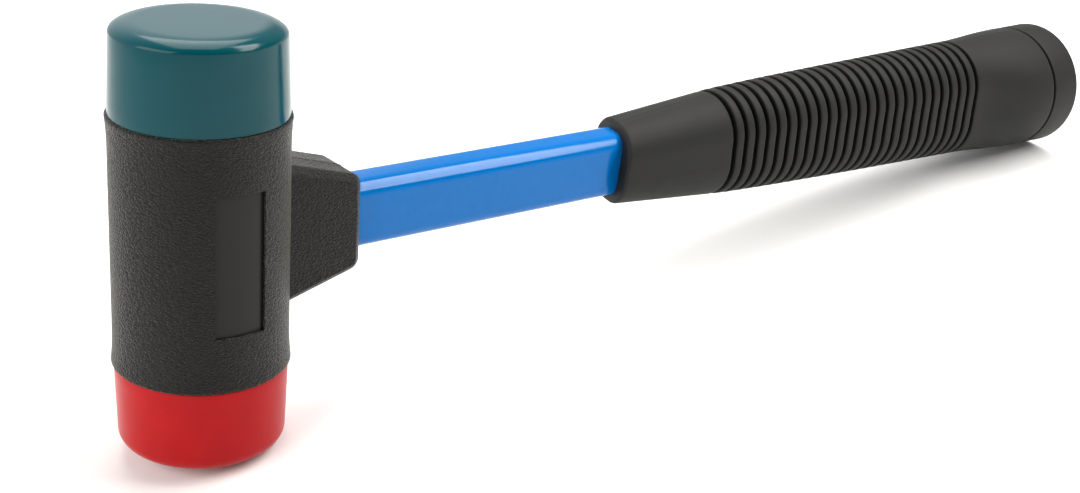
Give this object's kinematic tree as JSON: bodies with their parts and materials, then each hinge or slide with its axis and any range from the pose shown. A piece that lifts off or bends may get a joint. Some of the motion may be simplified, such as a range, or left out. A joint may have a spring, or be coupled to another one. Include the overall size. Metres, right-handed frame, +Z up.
{
  "type": "soft face hammer",
  "caption": "Soft face hammer lying on a bench: moulded head with screw-in striking faces, flat-sided painted steel tube handle and ribbed rubber grip.",
  "frame": {"origin": "on the floor, at the middle of the hammer's box as it lies on its red rim and the end of its grip", "axes": "+Z up from the floor, +X from the head towards the butt, -Y the side with the recess in the head"},
  "size_m": [0.3214, 0.0406, 0.1023],
  "materials": {
    "jacket_black": "grained moulding",
    "grip_rubber": "matt moulded rubber",
    "face_teal": "gloss",
    "face_red": "gloss",
    "tube_blue": "gloss enamel",
    "steel": "turned"
  },
  "bodies": {
    "hammer": {"head_jacket": "jacket_black", "head_core": "steel", "handle_tube": "tube_blue", "front_pin": "steel", "rear_pin": "steel", "grip": "grip_rubber", "butt_cap": "grip_rubber"},
    "teal_washer": {"teal_washer": "steel"},
    "teal_face": {"teal_face": "face_teal", "teal_stud": "steel"},
    "red_washer": {"red_washer": "steel"},
    "red_face": {"red_face": "face_red", "red_stud": "steel"}
  },
  "joints": [
    {"name": "teal_face_travel", "type": "slide", "parent": "hammer", "child": "teal_washer", "axis": [0.1088, 0, 0.9941], "range_m": [0, 0.0096]},
    {"name": "teal_face_turn", "type": "hinge", "parent": "teal_washer", "child": "teal_face", "pos_m": [-0.13656, 0, 0.05122], "axis": [0.1088, 0, 0.9941], "range_deg": [0, 1980]},
    {"name": "red_face_travel", "type": "slide", "parent": "hammer", "child": "red_washer", "axis": [-0.1088, 0, -0.9941], "range_m": [0, 0.0096]},
    {"name": "red_face_turn", "type": "hinge", "parent": "red_washer", "child": "red_face", "pos_m": [-0.13656, 0, 0.05122], "axis": [-0.1088, 0, -0.9941], "range_deg": [0, 1980]}
  ],
  "couplings": [
    {"joint": "teal_face_turn", "follows": "teal_face_travel", "rad_per_m": 3590.4},
    {"joint": "red_face_turn", "follows": "red_face_travel", "rad_per_m": 3590.4}
  ]
}
